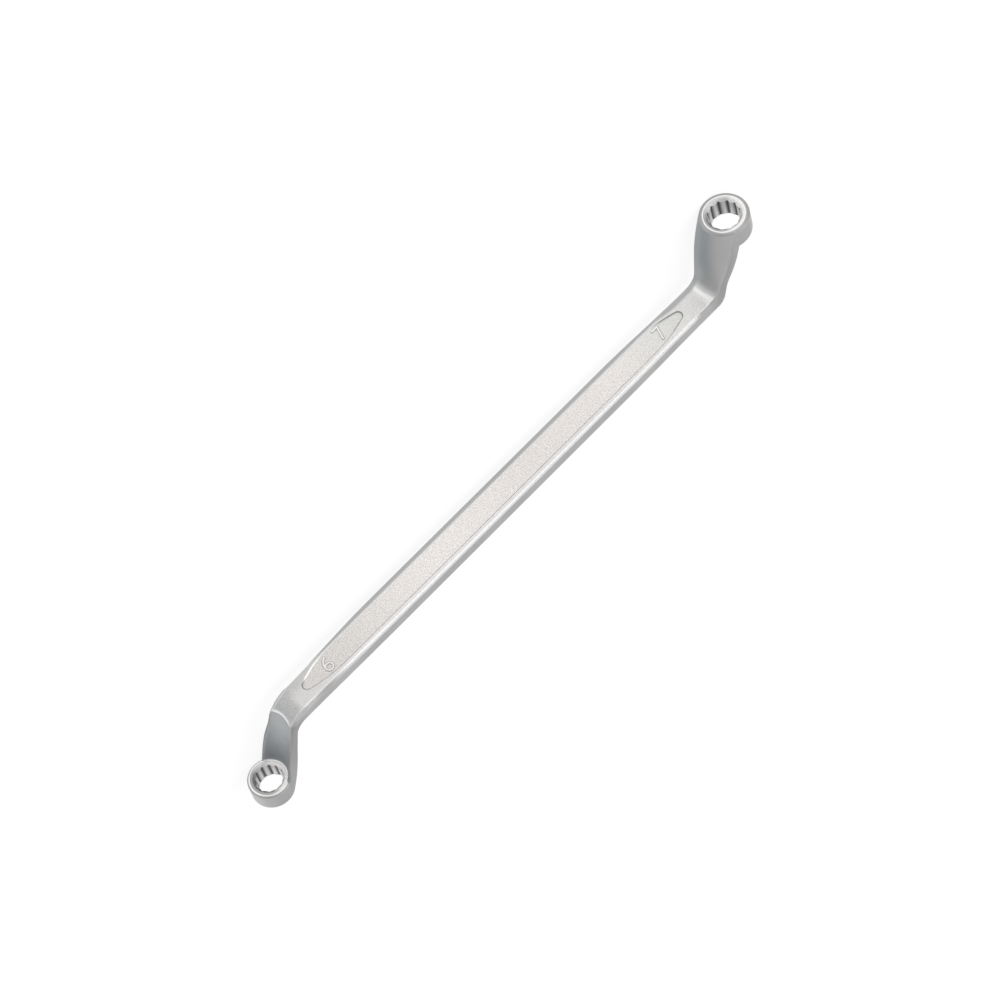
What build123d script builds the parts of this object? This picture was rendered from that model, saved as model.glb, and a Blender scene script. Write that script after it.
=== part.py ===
from build123d import *
from math import cos, radians
from types import SimpleNamespace
import os

# A double-ended ring spanner with deep cranks, 6 by 7 mm, forged in one piece.
# It lies on its side: the sockets' axes and the cranks point along Y, the
# shank runs along X with the 6 mm end at +X, and the shank's width is along Z.
# The origin is under the middle of the box that just holds it, on the floor.

# Sockets: twelve points each, made by two hexagons a twelfth of a turn apart
size_of_7 = 7.0
size_of_6 = 6.0
socket_play = 0.1
socket_pitch = 164.1
lead_in_7 = 0.4
lead_in_6 = 0.38
broach_turn_7 = 3.7
broach_turn_6 = 12.6

# Rings: the far face is the one that goes down over the screw
ring_7_diameter = 12.2
ring_6_diameter = 10.5
ring_7_height = 6.4
ring_6_height = 5.8
ring_7_rise = 22.0
ring_6_rise = 23.4
ring_dome_width = 1.1
ring_dome_height = 0.6

# Shank: a flat bar with crowned broad faces and rounded corners
shank_width = 9.1
shank_thickness = 4.5
shank_crown = 0.37
shank_straight = 40.0
corner_radius = 0.85

# Cranks: each narrows to a neck and flares again to the ring. The trimming left the
# necks uneven, so they have a width above the middle of the shank and one below it.
neck_7_above = 4.3
neck_7_below = 3.85
neck_6_above = 4.4
neck_6_below = 3.55
flare_7_above = 5.1
flare_7_below = 4.4
flare_6_above = 4.4
flare_6_below = 4.55
step_7_above = 0.25
step_7_below = 0.7
step_6_above = 0.25
step_6_below = 0.25
bend_radius = 3.2
crank_foot = 11.1
heel_7_radius = 3.0
heel_6_radius = 8.0
crank_7_heel = 7.7
crank_6_heel = 8.4
crank_7_top = 1.6
crank_6_top = 2.1
clearance_7_foot = 8.3
clearance_6_foot = 9.5
clearance_inset = 0.6

# Sunk panel on each broad face, pointed at both ends
panel_width = 5.7
panel_floor = 1.93
panel_7_shoulder = 51.1
panel_6_shoulder = 53.6
panel_point = 13.4
panel_tip_radius = 1.1
panel_draft = 45.0

# Size numbers, raised from the floor of the panel that faces -Y
number_height = 3.6
number_stroke = 0.42
number_relief = 0.16
number_7_place = 55.4
number_6_place = 57.4
loop_radius = 0.95

# How far every cutting shape runs past the metal
overrun = 1.0

shank_y = (ring_7_rise - ring_6_rise) / 2
axis_z = max(ring_7_diameter, ring_6_diameter) / 2
overall_length = socket_pitch + (ring_7_diameter + ring_6_diameter) / 2
half_thickness = shank_thickness / 2
half_width = shank_width / 2


def make_end(side, size, diameter, height, rise):
    """Sizes of one end; u runs along the shank towards it, v from the shank to its far face."""
    end = SimpleNamespace(side=side, rise=rise)
    end.across_flats = size + socket_play
    end.radius = diameter / 2
    end.rim = end.radius - clearance_inset
    end.near = rise - height
    # The shank's middle lies so that the two rings end the box at equal distances
    end.reach = overall_length / 2 - end.radius
    # How much wider the crank's inner face gets for each millimetre below the far face
    end.top = rise - ring_dome_height
    end.lean = (crank_foot - end.radius) / (end.top - half_thickness)
    end.axis = Axis((side * end.reach, shank_y, axis_z), (0, side, 0))
    # Sketch planes in the end's own u and v: from the side, and along the shank
    end.side_plane = Plane(origin=(0, shank_y, axis_z), x_dir=(side, 0, 0), z_dir=(0, 0, 1))
    end.front_plane = Plane(origin=(0, shank_y, axis_z), x_dir=(0, side, 0), z_dir=(side, 0, 0))
    return end


end_7 = make_end(-1, size_of_7, ring_7_diameter, ring_7_height, ring_7_rise)
end_7.lead_in = lead_in_7
end_7.turn = broach_turn_7
end_7.necks = (neck_7_above, -neck_7_below)
end_7.flares = (flare_7_above, -flare_7_below)
end_7.shoulders = (end_7.radius - step_7_above, step_7_below - end_7.radius)
end_7.heel = crank_7_heel
end_7.heel_top = crank_7_top
end_7.foot = clearance_7_foot
end_7.heel_radius = heel_7_radius

end_6 = make_end(1, size_of_6, ring_6_diameter, ring_6_height, ring_6_rise)
end_6.lead_in = lead_in_6
end_6.turn = broach_turn_6
end_6.necks = (neck_6_above, -neck_6_below)
end_6.flares = (flare_6_above, -flare_6_below)
end_6.shoulders = (end_6.radius - step_6_above, step_6_below - end_6.radius)
end_6.heel = crank_6_heel
end_6.heel_top = crank_6_top
end_6.foot = clearance_6_foot
end_6.heel_radius = heel_6_radius

ends = (end_7, end_6)


def make_crank(end):
    """Crank of one end: a cone about the socket's axis, cut to its width."""
    foot_radius = crank_foot + half_thickness * end.lean
    with BuildPart() as crank:
        with BuildSketch(end.side_plane):
            with BuildLine():
                Polyline(
                    (end.reach, 0),
                    (end.reach - foot_radius, 0),
                    (end.reach - end.radius, end.top),
                    (end.reach, end.top),
                    close=True,
                )
            make_face()
        revolve(axis=end.axis)

        # Width as seen along the shank: the neck's, and then flaring to the shoulder, which
        # steps back from the ring's side
        with BuildSketch(end.front_plane):
            with BuildLine():
                for neck, flare, shoulder in zip(end.necks, end.flares, end.shoulders):
                    Line((0, 0), (0, neck))
                    Line((0, neck), (half_thickness, neck))
                    Spline(
                        (half_thickness, neck),
                        (end.near / 2, flare),
                        (end.near, shoulder),
                        tangents=[(1, 0), (1, 0)],
                    )
                    Line((end.near, shoulder), (end.top, shoulder))
                    Line((end.top, shoulder), (end.top, 0))
            make_face()
        extrude(amount=end.reach, mode=Mode.INTERSECT)
    return crank.part


def side_edges(body):
    """Edges between the two sides of the bar, which face up and down, and its other faces."""
    edges = [edge for face in body.faces() if abs(face.normal_at().Z) > 0.85 for edge in face.edges()]
    return [edge for edge in edges if edges.count(edge) == 1]


def is_bar(edge):
    """True for an edge that isn't on a crank's end, which is hidden in its ring."""
    height = (edge.center().Y - shank_y) * (1 if edge.center().X > 0 else -1)
    return height < (end_6.near if edge.center().X > 0 else end_7.near)


cranks = [make_crank(end) for end in ends]

with BuildPart() as spanner_body:
    # Shank: its crowned section runs the whole way and is cut to the outline of its width
    across = Plane(origin=(-overall_length / 2, shank_y, axis_z), x_dir=(0, 1, 0), z_dir=(1, 0, 0))
    with BuildSketch(across):
        edge = half_thickness - shank_crown
        with BuildLine():
            ThreePointArc((-edge, -half_width), (-half_thickness, 0), (-edge, half_width))
            Line((-edge, half_width), (edge, half_width))
            ThreePointArc((edge, half_width), (half_thickness, 0), (edge, -half_width))
            Line((edge, -half_width), (-edge, -half_width))
        make_face()
    extrude(amount=overall_length)
    beside = Plane(origin=(0, shank_y + shank_thickness, axis_z), x_dir=(1, 0, 0), z_dir=(0, -1, 0))
    with BuildSketch(beside):
        with BuildLine():
            for end in ends:
                foot = end.side * (end.reach - crank_foot - bend_radius)
                start = end.side * shank_straight
                stop = end.side * overall_length
                for up, neck in zip((1, -1), end.necks):
                    Line((0, up * half_width), (start, up * half_width))
                    Spline((start, up * half_width), (foot, neck), tangents=[(end.side, 0), (end.side, 0)])
                    Line((foot, neck), (stop, neck))
                    Line((stop, neck), (stop, 0))
        make_face()
    extrude(amount=2 * shank_thickness, mode=Mode.INTERSECT)

    # Cranks, cut off behind the heel, with a round bend between each one and the shank
    for crank in cranks:
        add(crank)
    for end in ends:
        heel_lean = (end.heel - end.heel_top) / end.near
        behind = Plane(
            origin=(end.side * (end.reach - end.heel), shank_y, axis_z),
            z_dir=(end.side, -end.side * heel_lean, 0),
        )
        split(bisect_by=behind, keep=Keep.BOTTOM)
        bend = end.side_plane.from_local_coords(Vector(end.reach - crank_foot, half_thickness, 0))
        fillet(spanner_body.edges().sort_by_distance(bend)[0], bend_radius)
        heel_u = end.reach - end.heel - heel_lean * half_thickness
        heel = end.side_plane.from_local_coords(Vector(heel_u, -half_thickness, 0))
        fillet(spanner_body.edges().sort_by_distance(heel)[0], end.heel_radius)

    # Round corners all along both sides
    fillet([edge for edge in side_edges(spanner_body.part) if is_bar(edge)], corner_radius)

    # Rings, each with both faces domed towards its outer edge
    for end in ends:
        wall = end.reach - end.radius
        flat = wall + ring_dome_width
        near_wall = end.near + ring_dome_height
        with BuildSketch(end.side_plane):
            with BuildLine():
                Line((end.reach, end.near), (flat, end.near))
                EllipticalCenterArc((flat, near_wall), ring_dome_width, ring_dome_height, 180)
                Line((wall, near_wall), (wall, end.top))
                EllipticalCenterArc((flat, end.top), ring_dome_width, ring_dome_height, 90)
                Line((flat, end.rise), (end.reach, end.rise))
                Line((end.reach, end.rise), (end.reach, end.near))
            make_face()
        revolve(axis=end.axis)

    # Clearance behind each ring: a cone that lets the screw's shoulder and the hand pass
    for end in ends:
        low = -half_thickness - overrun
        spread = (end.foot - end.rim) / end.near
        with BuildSketch(end.side_plane):
            with BuildLine():
                Polyline(
                    (end.reach, end.near),
                    (end.reach - end.rim, end.near),
                    (end.reach - end.rim - spread * (end.near - low), low),
                    (end.reach, low),
                    close=True,
                )
            make_face()
        revolve(axis=end.axis, mode=Mode.SUBTRACT)

    # Sockets, with a lead-in at both faces
    for end in ends:
        across_corners = end.across_flats / cos(radians(30))
        mouth = across_corners / 2 + end.lead_in
        depth = mouth - end.across_flats / 2
        below = end.axis.position + end.axis.direction * (end.near - overrun)
        with BuildSketch(Plane(origin=below, x_dir=(1, 0, 0), z_dir=end.axis.direction)):
            for hexagon in (0, 30):
                RegularPolygon(across_corners / 2, 6, rotation=end.turn + hexagon)
        extrude(amount=end.rise - end.near + 2 * overrun, mode=Mode.SUBTRACT)
        for face, inwards in ((end.rise, -1), (end.near, 1)):
            with BuildSketch(end.side_plane):
                with BuildLine():
                    outside = face - inwards * overrun
                    inside = face + inwards * depth
                    Polyline(
                        (end.reach, outside),
                        (end.reach - mouth - overrun, outside),
                        (end.reach - mouth + depth, inside),
                        (end.reach, inside),
                        close=True,
                    )
                make_face()
            revolve(axis=end.axis, mode=Mode.SUBTRACT)

    # Sunk panels: parallel sides that curve in to a rounded point at both ends
    for face in (-1, 1):
        floor = Plane(origin=(0, shank_y + face * panel_floor, axis_z), x_dir=(1, 0, 0), z_dir=(0, face, 0))
        with BuildSketch(floor):
            with BuildLine():
                for up in (1, -1):
                    edge = up * panel_width / 2
                    tip_7 = (-panel_7_shoulder - panel_point, -face * sum(end_7.necks) / 2)
                    tip_6 = (panel_6_shoulder + panel_point, -face * sum(end_6.necks) / 2)
                    Line((-panel_7_shoulder, edge), (panel_6_shoulder, edge))
                    TangentArc((-panel_7_shoulder, edge), tip_7, tangent=(-1, 0))
                    TangentArc((panel_6_shoulder, edge), tip_6, tangent=(1, 0))
            panel = make_face()
            tips = panel.vertices().sort_by(Axis.X)
            fillet((tips[0], tips[-1]), panel_tip_radius)
        extrude(amount=half_thickness - panel_floor + overrun, taper=-panel_draft, mode=Mode.SUBTRACT)

    # Size numbers: the visible panel is read with the 7 mm end on the right
    half_height = number_height / 2
    reading = Plane(origin=(0, shank_y - panel_floor, axis_z), x_dir=(-1, 0, 0), z_dir=(0, -1, 0))
    with BuildSketch(reading.shift_origin(reading.from_local_coords(Vector(number_7_place, 0, 0)))):
        with BuildLine():
            Polyline(
                (-loop_radius, half_height),
                (loop_radius, half_height),
                (-loop_radius / 2, -half_height),
            )
        trace(line_width=number_stroke)
    extrude(amount=number_relief)
    with BuildSketch(reading.shift_origin(reading.from_local_coords(Vector(-number_6_place, 0, 0)))):
        loop_y = loop_radius - half_height
        with BuildLine():
            TangentArc((-loop_radius, loop_y), (loop_radius, half_height), tangent=(0, 1))
        trace(line_width=number_stroke)
        with Locations((0, loop_y)):
            Circle(loop_radius + number_stroke / 2)
            Circle(loop_radius - number_stroke / 2, mode=Mode.SUBTRACT)
    extrude(amount=number_relief)

spanner_body.part.label = "spanner_body"
os.makedirs("parts", exist_ok=True)
export_step(spanner_body.part, "parts/spanner_body.step")
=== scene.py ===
import bpy
from mathutils import Matrix, Vector

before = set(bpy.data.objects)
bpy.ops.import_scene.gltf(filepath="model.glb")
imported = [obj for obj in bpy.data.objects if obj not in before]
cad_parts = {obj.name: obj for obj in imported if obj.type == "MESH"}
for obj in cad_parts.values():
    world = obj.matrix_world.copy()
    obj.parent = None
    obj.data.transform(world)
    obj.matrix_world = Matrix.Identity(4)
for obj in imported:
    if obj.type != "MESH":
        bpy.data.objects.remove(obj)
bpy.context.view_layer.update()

# Camera: a long lens a metre away, above the broad side of the shank and a little to
# the 6 mm end, rolled so that the spanner runs up the picture from left to right.
camera_place = Vector((0.2648, -0.9002, 0.4762))
picture_right = Vector((-0.6862, 0.1679, 0.7078))
picture_up = Vector((-0.6823, -0.4858, -0.5462))
towards_viewer = Vector((0.2522, -0.8578, 0.4479))
camera_axes = Matrix((picture_right, picture_up, towards_viewer)).transposed()

camera = bpy.data.objects.new("camera", bpy.data.cameras.new("camera"))
camera.data.sensor_width = 36
camera.data.lens = 161.9
camera.data.clip_end = 50
camera.matrix_world = Matrix.LocRotScale(camera_place, camera_axes.to_quaternion(), None)
bpy.context.scene.collection.objects.link(camera)
bpy.context.scene.camera = camera

# Spanner: one drop forging in alloy steel. Its sides are trimmed and ground, its panels
# are blasted, its sockets are broached, and all of it is plated in satin chrome. Sizes
# are in millimetres here, apart from the bevels' radii, which are in metres.
shank_middle_y = -0.7
middle_z = 6.1
socket_7_x = -81.625
socket_6_x = 82.475


class Field:
    """A value that varies from point to point; sums on it add Math nodes to its material."""

    def __init__(self, socket):
        self.socket = socket
        self.tree = socket.id_data

    @classmethod
    def node(cls, tree, kind, settings, inputs, output=0):
        """A new node's output, after its settings and then its inputs are given to it."""
        made = tree.nodes.new(kind)
        for name, setting in settings.items():
            setattr(made, name, setting)
        for name, value in inputs.items():
            if isinstance(value, Field):
                tree.links.new(value.socket, made.inputs[name])
            else:
                made.inputs[name].default_value = value
        return cls(made.outputs[output])

    def math(self, operation, first, second=0.0):
        return Field.node(
            self.tree, "ShaderNodeMath", {"operation": operation}, {0: first, 1: second}
        )

    def __add__(self, other):
        return self.math("ADD", self, other)

    __radd__ = __add__

    def __sub__(self, other):
        return self.math("SUBTRACT", self, other)

    def __rsub__(self, other):
        return self.math("SUBTRACT", other, self)

    def __mul__(self, other):
        return self.math("MULTIPLY", self, other)

    __rmul__ = __mul__

    def __abs__(self):
        return self.math("ABSOLUTE", self)

    def along(self, axis):
        """The part of a vector that runs along X, Y or Z."""
        return Field.node(self.tree, "ShaderNodeSeparateXYZ", {}, {0: self}, output=axis)

    def reach(self, other):
        """The distance from the line on which both fields are 0."""
        return self.math("SQRT", self * self + other * other)

    def step(self, low, high):
        """0 below low, 1 above high and smooth between; from 1 to 0 where high is the lower."""
        return Field.node(
            self.tree,
            "ShaderNodeMapRange",
            {"interpolation_type": "SMOOTHSTEP"},
            {"Value": self, "From Min": low, "From Max": high},
        )

    def between(self, start, full, fade, end):
        """0 up to start, 1 from full to fade, and 0 again from end."""
        return self.step(start, full) * self.step(end, fade)

    def tint(self, start, end):
        """A colour from start, where the field is 0, to end, where it is 1."""
        factor, colour_a, colour_b, colour_result = 0, 6, 7, 2
        return Field.node(
            self.tree,
            "ShaderNodeMix",
            {"data_type": "RGBA"},
            {factor: self, colour_a: start, colour_b: end},
            output=colour_result,
        )


satin_chrome = bpy.data.materials.new("satin_chrome")
satin_chrome.use_nodes = True
tree = satin_chrome.node_tree
shader = tree.nodes["Principled BSDF"]

# Where a point lies: out from the middle towards either end, across the shank's width,
# and off the plane in the middle of its thickness
place = Field.node(tree, "ShaderNodeTexCoord", {}, {}, output="Object")
millimetres = Field.node(
    tree, "ShaderNodeVectorMath", {"operation": "SCALE"}, {0: place, "Scale": 1000.0}
)
x = millimetres.along("X")
z = millimetres.along("Z")
out = abs(x)
at_7_end = x.step(0.0, -1.0)
at_6_end = x.step(0.0, 1.0)
across = z - middle_z
aside = abs(across)
off_plane = millimetres.along("Y") - shank_middle_y
rise = abs(off_plane)
towards_ring = x * off_plane
from_7 = (x - socket_7_x).reach(across)
from_6 = (x - socket_6_x).reach(across)

# Which way the surface faces there
normal = Field.node(tree, "ShaderNodeTexCoord", {}, {}, output="Normal")
facing_end = abs(normal.along("X"))
facing_broad = abs(normal.along("Y"))
facing_up = normal.along("Z")
facing_side = abs(facing_up)
facing_in = (x * normal.along("X")).step(0.0, -20.0)

# Edges: there a bevel turns the surface by 3 to 9 degrees. Painted highlights go along them, and
# painted shade at the numbers' feet
edge_radius = 0.0005
extra_at_bends = 0.0004
bend_edges = (62.0, 66.0, 73.0, 76.0)
edge_starts, edge_full = 0.999, 0.988

sharp = Field.node(tree, "ShaderNodeNewGeometry", {}, {}, output="Normal")
rounded = Field.node(
    tree,
    "ShaderNodeBevel",
    {"samples": 8},
    {"Radius": edge_radius + extra_at_bends * out.between(*bend_edges)},
)
edge = Field.node(
    tree,
    "ShaderNodeVectorMath",
    {"operation": "DOT_PRODUCT"},
    {0: sharp, 1: rounded},
    output="Value",
).step(edge_starts, edge_full)

# Panels: a blasted floor, sloping walls and raised numbers
panel_floor = 1.93
panel_end = (68.2, 68.0)
panel_side = (3.5, 3.4)
shank_surface = (3.2, 3.0)
floor_skin = (0.06, 0.02)
number_skin = (0.07, 0.1, 0.2, 0.25)
low_wall_top = (-2.8, -2.2)
low_wall_rise_6 = 1.3

above_floor = rise - panel_floor
over_panel = out.step(*panel_end) * aside.step(*panel_side) * rise.step(*shank_surface)
in_panel = over_panel * above_floor.step(*floor_skin)
# The panels' walls, which get painted light and shade
on_wall = over_panel * facing_broad.step(0.95, 0.85)
off_low_wall = (across - low_wall_rise_6 * at_6_end).step(*low_wall_top)
# The numbers' tops, which get a painted highlight, fainter on the 6
on_number = over_panel * facing_broad.step(0.95, 0.98) * above_floor.between(*number_skin)
on_number = on_number * out.step(62.0, 61.5) * aside.step(2.0, 1.9)
# The numbers' feet, where a painted shade goes
by_number = edge * in_panel * out.between(50.0, 51.0, 60.0, 61.0) * aside.step(2.2, 2.0)
# Edges outside the panels, clear of the floor side, which get a painted highlight
on_free_edge = (1.0 - over_panel) * towards_ring.step(70.0, 0.0) * z.step(2.2, 3.4)

# Shank: its ground sides; the surfaces turned away from the broad faces, in painted shade; the low
# edge, in painted shade from the floor; the upper corners at the bends, painted darker to dull
# their highlights; and the heels, in painted shade with a grain
heel = (54.0, 67.0)
corner_7 = (-72.0, -69.0, -66.0, -63.0)
corner_6 = (54.0, 62.0, 74.0, 77.0)

on_side = facing_side.step(0.8, 0.97)
# Surfaces turned away from the broad faces, which get painted shade
on_edgeway = facing_broad.step(0.9, 0.3)
# Painted shade, darker towards the floor
low_edge = (z - x.step(-56.0, -63.0)).step(3.5, 2.6) * (1.0 - 0.5 * out.step(70.0, 76.0))
# Painted shade on the heels, where they face the ends and towards the floor side
on_heel = (facing_end.step(0.0, 0.35) + 0.6 * z.step(7.5, 4.0)).step(0.0, 1.0)
on_heel = on_heel * out.step(*heel) * towards_ring.step(0.0, -60.0)
# Painted shade on the upper corners at the bends, which dulls their highlights
on_corner = facing_up.between(0.2, 0.45, 0.9, 0.99)
on_corner = on_corner * (x.between(*corner_7) + x.between(*corner_6))

# Cranks: their faces and their sides, in painted shade, and the inside of the bends at their feet,
# a painted highlight
crank_foot = (68.0, 73.0)
crank_top = (84.5, 81.5)
bend = (63.0, 66.0, 73.0, 75.0)

# Painted shade on the crank faces, less near their feet and where they turn upwards
on_crank = facing_end.step(0.2, 0.85) * out.step(*crank_foot) * out.step(*crank_top)
on_crank = on_crank * (1.0 - 0.95 * facing_in * facing_up.step(-0.05, 0.45))
on_crank = on_crank * (1.0 - 0.4 * rise.step(12.0, 4.0))
# Painted shade on the crank sides
on_crank_side = on_side * out.step(*crank_foot) * (1.0 - 0.6 * out.step(75.0, 79.0))
# The insides of the bends, which get a painted highlight
on_bend = facing_end.between(0.2, 0.4, 0.5, 0.65) * facing_side.step(0.6, 0.35)
on_bend = on_bend * out.between(*bend) * towards_ring.step(0.0, 60.0)
on_bend = on_bend * (0.6 + 0.4 * z.step(2.0, 7.0))

# Rings, by their radii: the dome at the rim, in painted shade; the crest inside it, a painted
# highlight; the lead-in, painted light and partly in painted shade; and the broached bore with its
# grooves, which are in painted shade
dome_7 = (5.15, 5.45, 6.3, 6.6)
dome_6 = (4.8, 4.95, 5.5, 5.8)
crest_7 = (4.88, 4.96, 5.12, 5.25)
crest_6 = (4.45, 4.55, 4.8, 4.9)
lead_in_7 = (5.0, 4.9)
lead_in_6 = (4.55, 4.45)
bore_7 = (4.35, 4.25)
bore_6 = (3.75, 3.65)
groove_7 = (3.68, 4.1, 4.3, 4.6)
groove_6 = (3.16, 3.52, 3.8, 4.0)
shade_7 = (1.0, 4.5)
shade_6 = (-1.0, 2.5)

on_face = facing_broad.step(0.5, 0.6)
# The domes at the rims, which get painted shade
on_dome = facing_broad.step(0.3, 0.5) * (from_7.between(*dome_7) + from_6.between(*dome_6))
# The rings' crests, which get a painted highlight
on_crest = from_6.between(*crest_6) * (1.0 - 0.6 * across.step(1.0, 3.5))
on_crest = on_face * (from_7.between(*crest_7) + on_crest)
# The lead-ins, which get painted light and painted shade
on_lead_in = on_face * (from_7.step(*lead_in_7) + from_6.step(*lead_in_6))
in_shade = (x - socket_7_x).step(*shade_7) * at_7_end + (x - socket_6_x).step(*shade_6)
in_bore = facing_broad.step(0.5, 0.2) * (from_7.step(*bore_7) + from_6.step(*bore_6))
# The bores' grooves, which get painted shade
in_groove = in_bore * (from_7.between(*groove_7) + from_6.between(*groove_6))

# Textures: the grain of the blasting, the satin of the plating and broad cloudy patches
grain = Field.node(
    tree,
    "ShaderNodeTexNoise",
    {},
    {"Vector": millimetres, "Scale": 3.0, "Detail": 3.0, "Roughness": 0.65},
)
satin = Field.node(
    tree, "ShaderNodeTexNoise", {}, {"Vector": millimetres, "Scale": 9.0, "Detail": 2.0}
)
cloud = Field.node(
    tree, "ShaderNodeTexNoise", {}, {"Vector": millimetres, "Scale": 0.12, "Detail": 2.0}
)
speck = grain.step(0.35, 0.65)
patch = cloud.step(0.3, 0.7)

# Finishes that vary, each from its darker to its lighter tone, painted light and shade among them;
# the plain and the blasted steel also change towards the ends, and towards the 6 mm end they
# darken in painted shade
plain = speck.tint((0.69, 0.685, 0.675, 1), (0.81, 0.80, 0.785, 1))
# Painted shade: the plain steel darkens towards the 6 mm end
plain = (0.4 * x.step(45.0, 62.0)).tint(plain, (0.55, 0.54, 0.53, 1))
# Painted shade for the blasted steel at the 6 mm end
blasted_shade_at_6 = speck.tint((0.49, 0.47, 0.45, 1), (0.65, 0.63, 0.61, 1))
blasted = speck.tint((0.73, 0.695, 0.67, 1), (0.97, 0.94, 0.92, 1))
blasted = (0.5 * x.step(-40.0, -60.0)).tint(blasted, (0.72, 0.745, 0.71, 1))
# Painted shade on the blasted steel towards the 6 mm end
blasted = (0.5 * x.step(20.0, 62.0)).tint(blasted, blasted_shade_at_6)
# Painted shade on the surfaces turned away from the broad faces
edgeway_shade = patch.tint((0.53, 0.53, 0.535, 1), (0.58, 0.575, 0.575, 1))
# Painted shade on the heels, with a grain
heel_shade = speck.tint((0.46, 0.46, 0.46, 1), (0.57, 0.57, 0.56, 1))
shaded = patch.tint((0.33, 0.36, 0.375, 1), (0.40, 0.425, 0.44, 1))
shaded = facing_in.tint(shaded, (0.29, 0.315, 0.33, 1))
# Lead-ins: a painted light tone, with painted shade where in_shade is set
lead_in_lit_and_shaded = speck.tint((0.80, 0.785, 0.78, 1), (0.95, 0.93, 0.92, 1))
lead_in_lit_and_shaded = in_shade.tint(lead_in_lit_and_shaded, (0.42, 0.42, 0.425, 1))
# Panel walls: the low wall painted as lit, the high wall in painted shade
lit_low_wall = x.step(55.0, 60.0).tint((0.68, 0.68, 0.67, 1), (0.97, 0.97, 0.96, 1))
shaded_high_wall = out.step(46.0, 56.0).tint((0.15, 0.15, 0.15, 1), (0.32, 0.32, 0.32, 1))
wall_light_and_shade = off_low_wall.tint(lit_low_wall, shaded_high_wall)

# Finishes of one tone, most of them painted shade or painted highlights
# Painted shade on the crank sides
crank_side_shade = (0.44, 0.43, 0.43, 1)
# Painted shade on the corners at the bends
corner_shade = (0.38, 0.375, 0.38, 1)
# A painted highlight on the bends
bend_highlight = (0.92, 0.92, 0.91, 1)
# Painted shade on the domes
dome_shade = (0.43, 0.425, 0.42, 1)
# Painted shade on the low edge
low_edge_shade = (0.38, 0.385, 0.395, 1)
# Painted shade at the numbers' feet
number_foot_shade = (0.42, 0.42, 0.42, 1)
# A painted highlight on the numbers' tops
number_highlight = (0.93, 0.93, 0.92, 1)
# A painted highlight on edges and on the rings' crests
edge_highlight = (0.95, 0.95, 0.94, 1)
bore_white = (0.86, 0.86, 0.86, 1)
# Painted shade in the bores' grooves
groove_shade = (0.10, 0.10, 0.10, 1)

# Every finish, painted light and shade among them, lies over those before it
colour = plain
for where, finish in (
    (on_edgeway, edgeway_shade),
    (on_crank_side, crank_side_shade),
    (on_corner, corner_shade),
    (on_heel, heel_shade),
    (on_crank, shaded),
    (on_bend, bend_highlight),
    (on_dome, dome_shade),
    (on_lead_in, lead_in_lit_and_shaded),
    (0.8 * low_edge, low_edge_shade),
    (in_panel, blasted),
    (0.7 * by_number, number_foot_shade),
    (on_number * (1.0 - 0.4 * at_6_end), number_highlight),
    (edge * on_free_edge, edge_highlight),
    (on_crest, edge_highlight),
    (on_wall, wall_light_and_shade),
    (in_bore, bore_white),
    (in_groove, groove_shade),
):
    colour = where.tint(colour, finish)
tree.links.new(colour.socket, shader.inputs["Base Color"])

shader.inputs["Metallic"].default_value = 1.0
roughness = 0.34 + 0.05 * cloud + 0.06 * on_side + 0.2 * in_panel + 0.12 * out.step(66.0, 72.0)
tree.links.new(roughness.socket, shader.inputs["Roughness"])

# Relief: edges are softened, most of all where a crank runs into its ring, and the fine
# textures stand a few hundredths of a millimetre high
softening = 0.0003
extra_at_rings = 0.0011
ring_junction = (66.0, 70.0)
outside_ring_7 = (4.9, 5.5)
outside_ring_6 = (4.1, 4.6)

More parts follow.
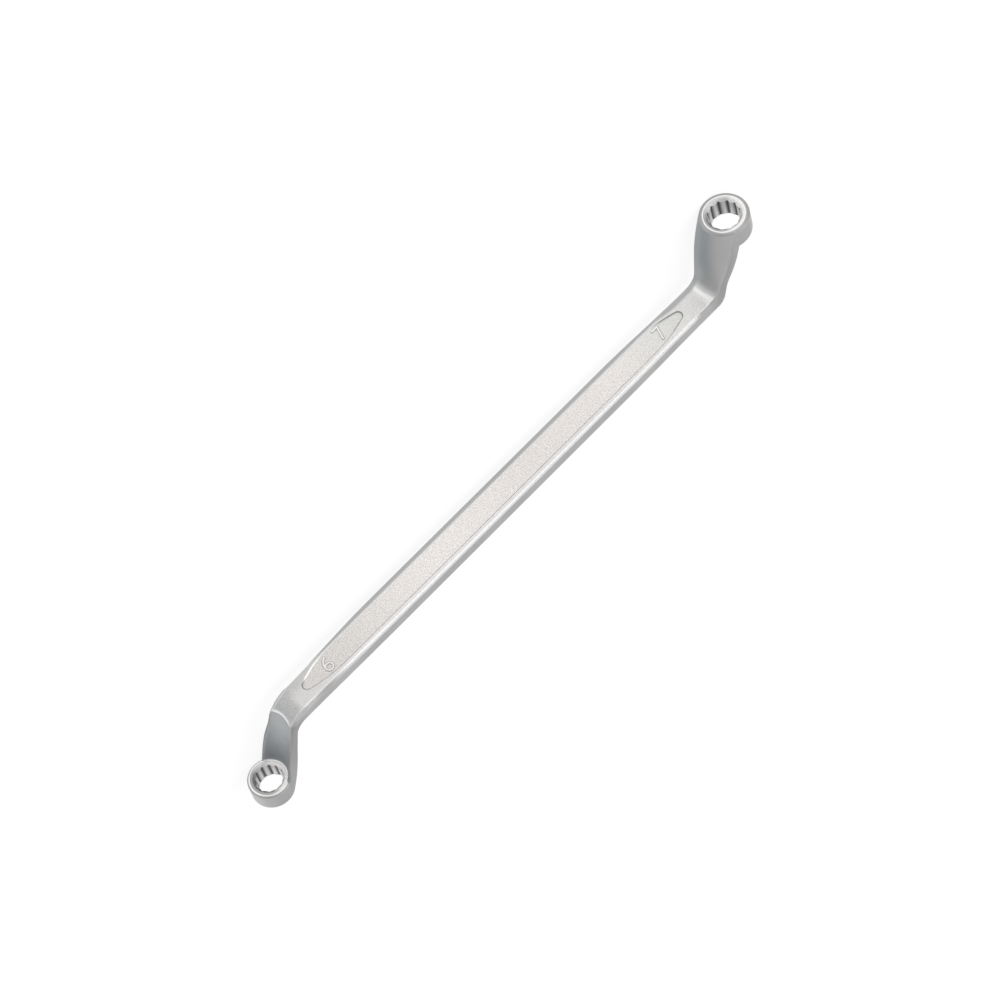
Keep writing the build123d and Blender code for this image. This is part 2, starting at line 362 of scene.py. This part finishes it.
at_ring = out.step(*ring_junction) * towards_ring.step(0.0, 100.0)
at_ring = at_ring * from_7.step(*outside_ring_7) * from_6.step(*outside_ring_6)
softened = Field.node(
    tree, "ShaderNodeBevel", {"samples": 8}, {"Radius": softening + extra_at_rings * at_ring}
)
height = 0.006 * satin + 0.04 * in_panel * grain + 0.02 * on_heel * grain
relief = Field.node(
    tree,
    "ShaderNodeBump",
    {},
    {"Height": height, "Distance": 0.001, "Strength": 1.0, "Normal": softened},
)
tree.links.new(relief.socket, shader.inputs["Normal"])

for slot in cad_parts["spanner_body"].material_slots:
    slot.material = satin_chrome

# Floor: one wide sheet of matt white paper, which the spanner lies on with its side. A
# share of it glows for the camera and for reflections, so that it shows as plain white.
sheet_size = 12
glowing_share = 0.8
glow_strength = 1.06

bpy.ops.mesh.primitive_plane_add(size=sheet_size)
floor = bpy.context.object
floor.name = "floor"
paper = bpy.data.materials.new("white_paper")
paper.use_nodes = True
sheet = paper.node_tree
matt = sheet.nodes["Principled BSDF"]
matt.inputs["Base Color"].default_value = (0.97, 0.97, 0.97, 1)
matt.inputs["Roughness"].default_value = 1.0
matt.inputs["Specular IOR Level"].default_value = 0.0
glow = Field.node(sheet, "ShaderNodeEmission", {}, {"Strength": glow_strength})
by_camera, by_gloss, by_glass = (
    Field.node(sheet, "ShaderNodeLightPath", {}, {}, output=ray)
    for ray in ("Is Camera Ray", "Is Glossy Ray", "Is Transmission Ray")
)
lit = Field.node(
    sheet,
    "ShaderNodeMixShader",
    {},
    {"Fac": glowing_share * (by_camera + by_gloss + by_glass), 1: Field(matt.outputs[0]), 2: glow},
)
sheet.links.new(lit.socket, sheet.nodes["Material Output"].inputs["Surface"])
floor.data.materials.append(paper)

# Light: a pale room all round, one wide soft box overhead beyond the 7 mm end, and one
# in front of the broad side.
room = bpy.data.worlds.new("room")
room.use_nodes = True
room.node_tree.nodes["Background"].inputs["Color"].default_value = (0.75, 0.75, 0.75, 1)
room.node_tree.nodes["Background"].inputs["Strength"].default_value = 1.0
bpy.context.scene.world = room
for name, spot, width, power in (
    ("top_box", (-0.9, -0.2, 1.5), 1.9, 6.5),
    ("front_box", (-0.4, -2.2, 0.8), 1.6, 8.0),
):
    box = bpy.data.objects.new(name, bpy.data.lights.new(name, "AREA"))
    box.data.size = width
    box.data.energy = power
    box.location = spot
    box.rotation_euler = (-Vector(spot)).to_track_quat("-Z", "Y").to_euler()
    bpy.context.scene.collection.objects.link(box)

bpy.context.scene.view_settings.view_transform = "Standard"
